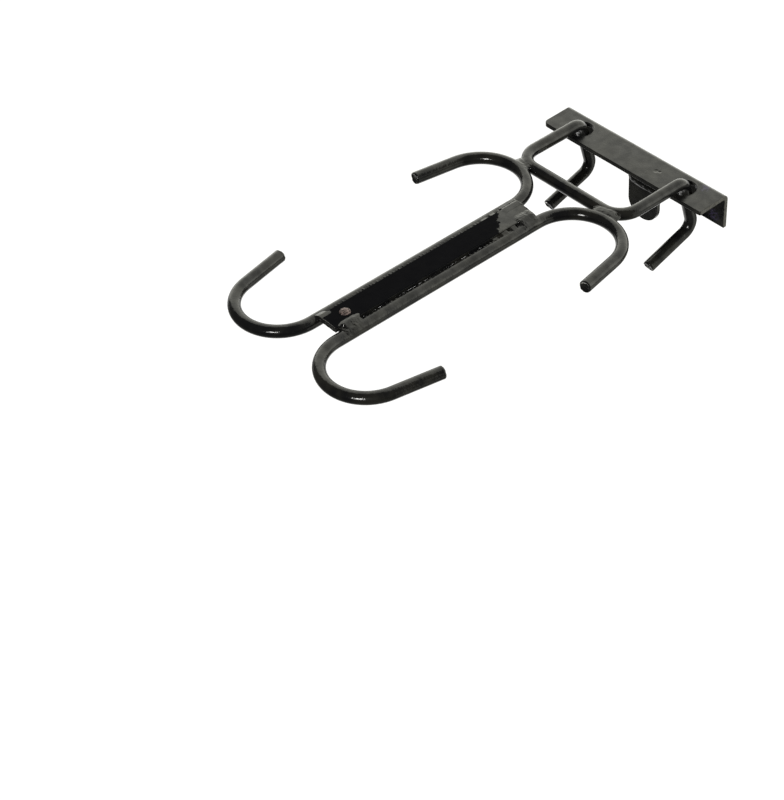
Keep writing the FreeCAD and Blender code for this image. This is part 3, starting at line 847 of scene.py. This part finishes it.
def flat_ends(node):
    """The centre and outward direction of each flat cut end of a bar.

    The bars' ends have a small chamfer, and the outer one of its two rims counts.
    """
    edges = sharp_edges(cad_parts[node].data)
    ends = []
    for rim in chains(edges):
        places = [Vector(spot) for spot in rim[1:]]
        out = sum(normal_sums(edges, rim), Vector())
        ends.append((sum(places, Vector()) / len(places), out.normalized()))

    def is_inner(place, out):
        steps = (other - place for other, _ in ends)
        return any(0 < step.dot(out) < CHAMFER and step.length < 2 * CHAMFER for step in steps)

    ends.sort(key=lambda end: tuple(end[0]))
    return [(place, out) for place, out in ends if not is_inner(place, out)]


def turned(place, out, side, profile, count, bump):
    """Points and faces of a closed turned shape about `out` through `place`.

    The profile lists (radius, height), and its first and last points are on the
    axis. It has `count` spokes from `side` on. `bump` moves each point in or out:
    (radius, height) from (arm, r, h).
    """
    points, faces = [place + out * profile[0][1]], []
    rings = profile[1:-1]
    wheel = arms(side, out.cross(side), count)
    for radius, height in rings:
        for arm in wheel:
            r, h = bump(arm, radius, height)
            points.append(place + arm * r + out * h)
    points.append(place + out * profile[-1][1])
    last = 1 + (len(rings) - 1) * count
    for spoke in range(count):
        ahead = (spoke + 1) % count
        faces.append((0, 1 + spoke, 1 + ahead))
        for ring in range(len(rings) - 1):
            a, b = 1 + ring * count + spoke, 1 + ring * count + ahead
            faces.append((a, a + count, b + count, b))
        faces.append((last + spoke, len(points) - 1, last + ahead))
    return points, faces


# A sawn end in millimetres: (radius, height) from its middle over its rim and down.
END_PROFILE = (
    (0, -0.04), (0.8, 0.0), (1.6, 0.0), (2.3, 0.05), (2.8, 0.20), (3.2, 0.44), (3.5, 0.48),
    (3.75, 0.30), (3.95, 0.02), (4.04, -0.35), (3.98, -0.75), (3.5, -0.9), (0, -0.9))
END_SPOKES = 40

# Its burr has lumps, and is bare metal on a part of its upper side.
BURR_FOOT = -0.2 * MM       # there is none under this height
BURR_RISE, BURR_LUMP = 0.45 * MM, 0.45 * MM
BURR_PITCH = 1.5 * MM
BURR_LEAST = -0.6           # of the noise that makes the lumps
BURR_LEAN = 0.15            # how much higher it is at the top of the bent bar's ends
BARE_RING = (2.3 * MM, 3.3 * MM)
BARE_FROM, BARE_RAGGED = 0.55, 0.3      # the direction's Z from which it is bare


def burr(centre, lean):
    """Raises the face and rim of a sawn end, more towards its top by `lean`."""
    def bump(arm, radius, height):
        if height < BURR_FOOT:
            return radius, height
        lump = max(grain(centre + arm * radius, BURR_PITCH, BURR_SEED), BURR_LEAST)
        slant = BURR_RISE + lean * radius * arm.z
        return radius, height + slant + BURR_LUMP * lump
    return bump


def lay_bare(cap, centre, out, bare):
    """Gives a part of the upper side of a sawn end's burr a second material."""
    cap.data.materials.append(bare)
    for face in cap.data.polygons:
        arm = face.center - centre
        height = arm.dot(out)
        arm -= out * height
        least = BARE_FROM + BARE_RAGGED * grain(face.center, BURR_PITCH, BARE_SEED)
        on_burr = height > 0 and BARE_RING[0] < arm.length < BARE_RING[1]
        if on_burr and arm.normalized().z > least:
            face.material_index = 1


def cut_ends(material, bare):
    """Each sawn bar end: a burr all round, bare metal on its top, and a dished face."""
    for node in BARS:
        lean = BURR_LEAN if node == "hinge_rod" else 0.0
        for number, (centre, out) in enumerate(flat_ends(node), start=1):
            side = out.cross(ACROSS).normalized()
            shape = turned(centre, out, side, metres(END_PROFILE), END_SPOKES, burr(centre, lean))
            cap = mesh_piece(f"cut_end_{node}_{number}", *shape, material)
            lay_bare(cap, centre, out, bare)


# The rivet: radius and rise of its head, radius and length of its shank, and
# radius and drop of its tail.
HEAD, SHANK, TAIL = (3.4 * MM, 1.4 * MM), (2.0 * MM, 3.0 * MM), (2.9 * MM, 1.2 * MM)
DOME_STEPS, RIVET_SPOKES = 14, 48
HAMMERED, HAMMERED_PITCH = 0.16 * MM, 1.4 * MM
HAMMERED_OUT = 0.6          # of a blow, how much it moves the outline


def rivet_profile():
    """The rivet's (radius, height) from the top of its head to its bevelled tail."""
    angles = (math.pi / 2 * i / DOME_STEPS for i in range(DOME_STEPS + 1))
    dome = [(HEAD[0] * math.sin(angle), HEAD[1] * math.cos(angle)) for angle in angles]
    (shank, grip), (tail, drop) = SHANK, TAIL
    return dome + [(shank, 0), (shank, -grip), (tail, -grip), (tail, -grip - 0.7 * drop),
                   (0.6 * tail, -grip - drop), (0, -grip - drop)]


def rivet(material):
    """Domed rivet in the strip: a hammered head, its shank and its tail."""
    def bump(arm, radius, height):
        if height <= 0 and radius <= SHANK[0]:
            return radius, height
        dent = HAMMERED * grain(arm * radius + UP * height, HAMMERED_PITCH, RIVET_SEED)
        return radius + HAMMERED_OUT * dent, height + min(dent, 0)

    place = to_plane(middle("strip_rivet")) + UP * STRIP_TOP
    shape = turned(place, UP, ACROSS, rivet_profile(), RIVET_SPOKES, bump)
    piece = mesh_piece("rivet", *shape, material, slot="rivet_steel")
    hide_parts("strip_rivet")


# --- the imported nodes' finish ------------------------------------------------

# Places on the bracket, each (centre, radius).
BRACKET_SCUFFS = (((0.0543, -0.0051, 0.0140), 2.4 * MM), ((0.0600, -0.0030, -0.0045), 2.6 * MM))
BRACKET_DENTS = (((0.0204, -0.0137, 0.0140), 1.6 * MM), ((0.0229, -0.0129, 0.0140), 1.1 * MM))

BOOT_REFLECTION_END = -0.1300           # ahead of this Y a boot's reflection and shade are painted on the strip's top
BOOT_REFLECTION_RAGGED = 4.0 * MM

# The paint on the plates is flatter than on the bars, but duller.
PLATE = {"peel": 0.03 * MM, "wave": 0.10 * MM}
STRIP_ROUGH, BRACKET_ROUGH = (0.16, 0.28), (0.18, 0.32)


def finish_nodes(bars):
    """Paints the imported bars, strip, bracket and tab."""
    flat = black_paint("flat_paint", rough=STRIP_ROUGH, **PLATE)
    folded = black_paint("bracket_paint", rough=BRACKET_ROUGH, scuffs=BRACKET_SCUFFS,
                         dents=BRACKET_DENTS, ends=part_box("wall_bracket")[1][X], **PLATE)
    # The strip's front top gets a painted boot reflection and shade.
    strip = black_paint("strip_paint", rough=STRIP_ROUGH, painted_boot_reflection=(BOOT_REFLECTION_END, BOOT_REFLECTION_RAGGED), **PLATE)
    for name in BARS:
        wear(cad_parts[name], bars)
    wear(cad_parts["centre_strip"], strip)
    edge_paint("centre_strip", flat, radius=0.42 * MM, uneven=0.55, pitch=1.5 * MM)
    for name in ("wall_bracket", "fixing_tab"):
        wear(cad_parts[name], folded)
        edge_paint(name, folded, body="wall_mount")


# --- stage, light and camera -------------------------------------------------

CAMERA_PLACE = (0.6780, -0.7388, 0.7487)
CAMERA_TURN, CAMERA_TILT, CAMERA_ROLL = 52.62, 43.38, -5.22     # degrees
LENS, SENSOR = 88.65, 36.0              # millimetres

ROOM = (0.18, 0.18, 0.165)

FLOOR_GREY, FLOOR_GLOW = 0.22, 0.85
FLOOR_HALF = 16.0
FLOOR_PLACE = (-1.15, 0.65, -1.2)       # straight behind the rack in the photo's view
POOL_REACH, POOL_WIDTH = 1.42, 0.96     # half sizes of the white pool on the floor
POOL_EDGE = 0.20                        # its soft edge, as a share of those
FAR_WHITE = ((18.6, -2.8, 0), 17.2, 1.0)  # the far floor at the back: centre, radius and edge

RACK = Vector((0, -0.14, 0.02))         # about its middle; the lights stand around it
WARM_WHITE, WHITE = (1.0, 1.0, 0.90), (1.0, 1.0, 0.97)
WALL_LOW, WALL_HIGH = -0.62, 9.2        # the bright wall's edges, from the rack's height
WALL_AWAY, WALL_WIDTH = 3.0, 24.0


def seen_rays(n):
    """1 for camera, glossy and transmission rays, 0 for the light on surfaces."""
    path = n.tree.nodes.new("ShaderNodeLightPath")
    camera, glossy, through = (path.outputs[f"Is {kind} Ray"]
                               for kind in ("Camera", "Glossy", "Transmission"))
    return n.math("MAXIMUM", n.math("MAXIMUM", camera, glossy), through)


def make_world():
    """The plain grey of a studio room."""
    world = bpy.data.worlds.new("studio")
    world.use_nodes = True
    world.node_tree.nodes["Background"].inputs["Color"].default_value = (*ROOM, 1)
    bpy.context.scene.world = world


def floor_material():
    """Pale grey, and white in the pool and at the back for the rays that see it."""
    n = Nodes("floor_white")
    n.shader.inputs["Base Color"].default_value = (FLOOR_GREY, FLOOR_GREY, FLOOR_GREY, 1)
    n.shader.inputs["Roughness"].default_value = 1.0
    n.shader.inputs["Specular IOR Level"].default_value = 0.0
    n.shader.inputs["Emission Color"].default_value = (1, 1, 1, 1)
    pool = n.near((0, 0, 0), 1.0, POOL_EDGE, stretch=(1 / POOL_REACH, 1 / POOL_WIDTH, 1))
    white = n.math("MAXIMUM", pool, n.near(*FAR_WHITE))
    glow = n.math("MULTIPLY", seen_rays(n), white)
    n.link(n.math("MULTIPLY", glow, FLOOR_GLOW), n.shader.inputs["Emission Strength"])
    return n.material


def make_floor():
    """A pale floor well below the rack, white where it is seen behind the rack."""
    mesh = bpy.data.meshes.new("floor")
    outline = [(x * FLOOR_HALF, y * FLOOR_HALF, 0) for x, y in ((-1, -1), (1, -1), (1, 1), (-1, 1))]
    mesh.from_pydata(outline, [], [(0, 1, 2, 3)])
    floor = bpy.data.objects.new("floor", mesh)
    floor.location = FLOOR_PLACE
    floor.rotation_euler.z = math.radians(CAMERA_TURN + 90)
    bpy.context.scene.collection.objects.link(floor)
    wear(floor, floor_material())


def make_softbox(name, bearing, elevation, distance, size, radiance, colour=WARM_WHITE):
    """An upright rectangular soft light, turned to the rack; its angles are in degrees."""
    data = bpy.data.lights.new(name, "AREA")
    data.shape = "RECTANGLE"
    data.size, data.size_y = size
    data.energy = radiance * math.pi * size[0] * size[1]
    data.color = colour
    lamp = bpy.data.objects.new(name, data)
    bearing, elevation = math.radians(bearing), math.radians(elevation)
    level = Vector((math.cos(bearing), math.sin(bearing), 0))
    toward = level * math.cos(elevation) + Vector((0, 0, math.sin(elevation)))
    lamp.location = RACK + toward * distance
    lamp.rotation_euler = level.to_track_quat("Z", "Y").to_euler()
    lamp.visible_camera = False
    bpy.context.scene.collection.objects.link(lamp)


def make_lights():
    """A tall bright wall behind the rack, a small one at its right and a lamp in front."""
    wall_middle = (WALL_LOW + WALL_HIGH) / 2
    make_softbox("light_wall", bearing=103,
                 elevation=math.degrees(math.atan2(wall_middle, WALL_AWAY)),
                 distance=math.hypot(wall_middle, WALL_AWAY),
                 size=(WALL_WIDTH, WALL_HIGH - WALL_LOW), radiance=2.3)
    make_softbox("right_wall", bearing=33, elevation=-12, distance=1.18, size=(1.2, 1.7),
                 radiance=1.0)
    make_softbox("front_light", bearing=298, elevation=24, distance=1.5, size=(0.36, 0.36),
                 radiance=60, colour=WHITE)


def make_camera():
    """The photographer's place, direction and lens."""
    turn, tilt, roll = map(math.radians, (CAMERA_TURN, CAMERA_TILT, CAMERA_ROLL))
    back = Vector((math.cos(tilt) * math.sin(turn), -math.cos(tilt) * math.cos(turn),
                   math.sin(tilt)))
    right = Vector((math.cos(turn), math.sin(turn), 0))
    upward = back.cross(right)
    right, upward = (right * math.cos(roll) + upward * math.sin(roll),
                     upward * math.cos(roll) - right * math.sin(roll))
    axes = Matrix((right, upward, back)).transposed().to_4x4()
    data = bpy.data.cameras.new("camera")
    data.sensor_fit = "HORIZONTAL"
    data.sensor_width = SENSOR
    data.lens = LENS
    camera = bpy.data.objects.new("camera", data)
    camera.matrix_world = Matrix.Translation(Vector(CAMERA_PLACE)) @ axes
    bpy.context.scene.collection.objects.link(camera)
    bpy.context.scene.camera = camera


paint = black_paint("bar_paint")
finish_nodes(paint)
hook_welds(paint)
strip_welds(paint)
bracket_weld(paint)
paint_lines(paint)
cut_ends(paint, bare_metal())
rivet(rivet_metal())
make_world()
make_floor()
make_lights()
make_camera()
bpy.context.scene.view_settings.view_transform = "Standard"
